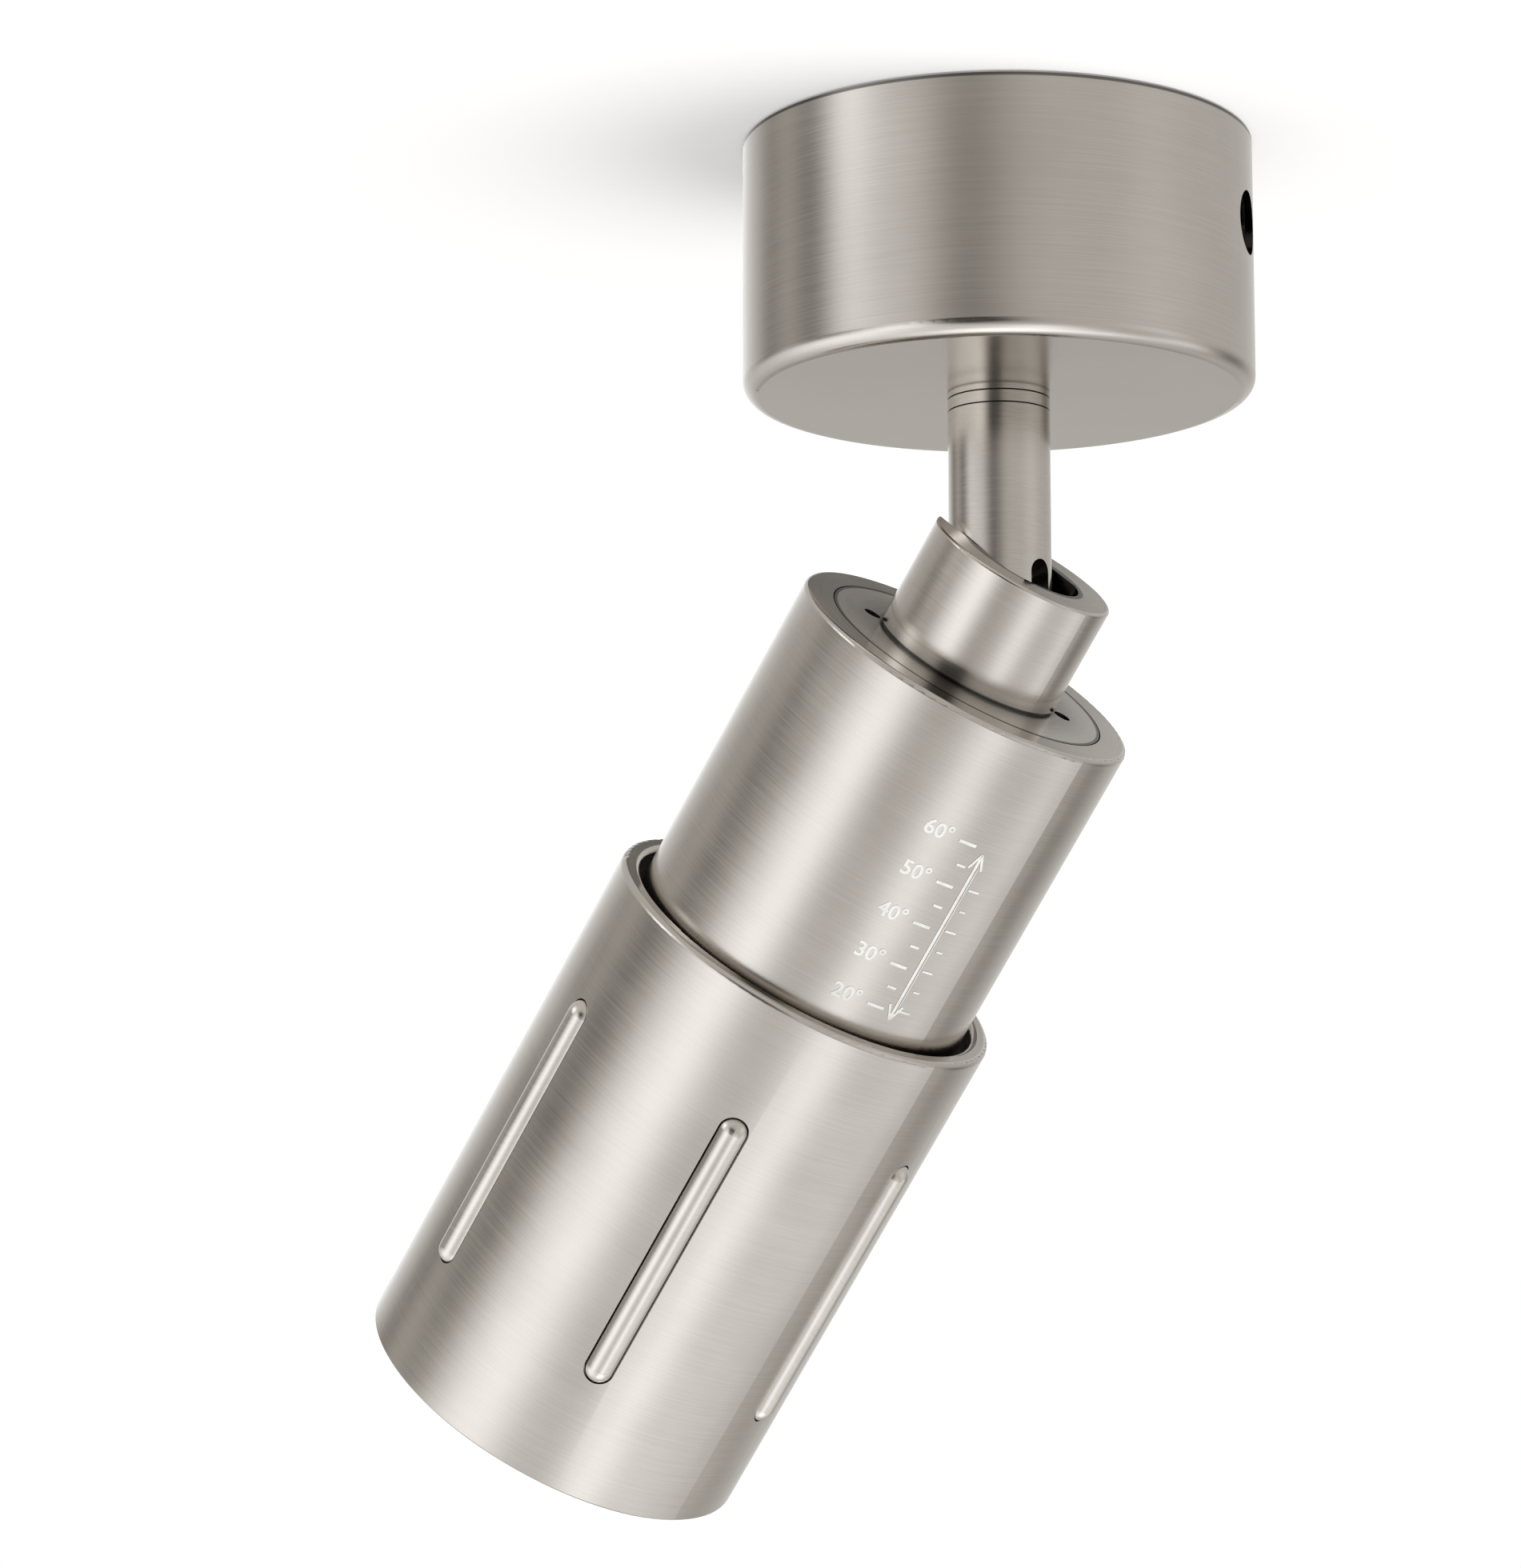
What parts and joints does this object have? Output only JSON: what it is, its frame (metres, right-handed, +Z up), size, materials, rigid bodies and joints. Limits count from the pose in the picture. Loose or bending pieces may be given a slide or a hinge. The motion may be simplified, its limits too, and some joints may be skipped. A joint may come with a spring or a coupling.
{
  "type": "surface mounted ceiling spotlight",
  "caption": "Surface mounted ceiling spotlight: round canopy, panning stem, tilting cylindrical head and a sliding outer sleeve that narrows or widens the beam.",
  "frame": {"origin": "centre of the mounting strap's ceiling face, level with the canopy's rim", "axes": "+Z up into the ceiling, the lamp hangs towards -Z; +X along the strap's two screw slots; the head leans towards -X and +Y"},
  "size_m": [0.1747, 0.1629, 0.2664],
  "materials": {
    "satin_nickel": "turned aluminium, finely brushed round the axis and plated satin nickel",
    "satin_nickel_steel": "drawn steel, finely brushed and plated satin nickel",
    "zinc_steel": "zinc plated, satin",
    "bright_steel": "plain turned steel",
    "brass": "machined",
    "aluminium": "extruded, plain",
    "mirror_aluminium": "metallised, semi-bright",
    "white_plastic": "moulded, fine grain",
    "black_plastic": "moulded, matt",
    "black_rubber": "silicone rubber, matt",
    "thermal_pad": "filled silicone, matt",
    "phosphor": "yellow phosphor gel",
    "lens_glass": "clear, polished",
    "black_ring": "black anodised"
  },
  "bodies": {
    "ceiling_base": {"canopy": "satin_nickel_steel", "mounting_strap": "zinc_steel", "canopy_screws": "bright_steel", "earth_screw": "brass", "terminal_block": "white_plastic", "led_driver": "white_plastic", "driver_pads": "black_rubber", "swivel_bush": "satin_nickel", "stop_pin": "bright_steel"},
    "arm": {"stem": "satin_nickel", "swivel_ring": "satin_nickel", "pan_washers": "black_plastic", "pan_tube": "brass", "stop_washer": "zinc_steel", "wave_washer": "bright_steel", "lock_nut": "zinc_steel"},
    "head": {"neck": "satin_nickel", "pivot_screw": "bright_steel", "tilt_washers": "black_plastic", "neck_nut": "zinc_steel", "end_disc": "satin_nickel", "body_tube": "satin_nickel", "heat_sink": "aluminium", "sink_ring": "bright_steel", "thermal_pad": "thermal_pad", "led_board": "white_plastic", "led_emitter": "phosphor", "led_holder": "white_plastic", "holder_screws": "bright_steel", "wire_grommet": "black_rubber", "reflector": "mirror_aluminium", "body_glide_ring": "black_plastic", "guide_pin": "bright_steel"},
    "zoom_sleeve": {"outer_sleeve": "satin_nickel", "grip_bars": "satin_nickel", "sleeve_glide_ring": "black_plastic", "lens_gasket": "black_rubber", "zoom_lens": "lens_glass", "lens_ring": "black_ring"}
  },
  "joints": [
    {"name": "pan", "type": "hinge", "parent": "ceiling_base", "child": "arm", "pos_m": [0, 0, -0.0535], "axis": [0, 0, 1], "range_deg": [-170, 170]},
    {"name": "tilt", "type": "hinge", "parent": "arm", "child": "head", "pos_m": [0, 0, -0.0916], "axis": [0.6481, 0.7615, 0], "range_deg": [-37.8, 52.2]},
    {"name": "zoom", "type": "slide", "parent": "head", "child": "zoom_sleeve", "axis": [0.4668, -0.3972, 0.7902], "range_m": [0, 0.037]}
  ]
}
